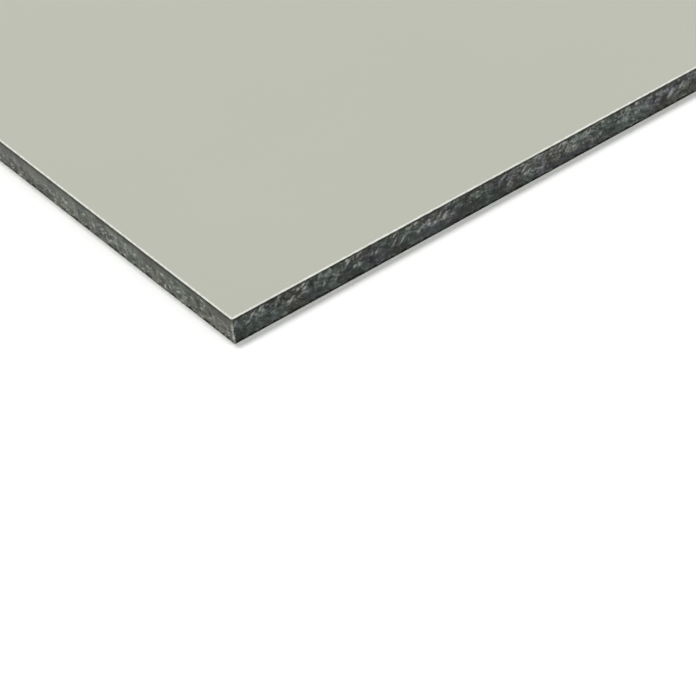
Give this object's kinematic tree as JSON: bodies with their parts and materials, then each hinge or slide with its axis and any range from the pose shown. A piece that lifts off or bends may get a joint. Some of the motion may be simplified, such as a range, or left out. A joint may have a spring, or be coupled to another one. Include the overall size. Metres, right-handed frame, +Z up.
{
  "type": "multipurpose building board",
  "caption": "Flat compact-laminate building board: a dense dark core with thin pale grey-green faces, square sawn edges and lightly bevelled arrises.",
  "frame": {"origin": "centre of the underside of the board, which lies face up on a flat surface", "axes": "+X along the long edge, +Y along the short edge, +Z up out of the top face"},
  "size_m": [1, 0.5, 0.006],
  "materials": {
    "core": "dark grey mottled core, sawn, with paler flecks and tooth marks",
    "face": "satin pale grey-green face"
  },
  "bodies": {
    "root": {"core": "core", "top_face": "face", "bottom_face": "face"}
  },
  "joints": []
}
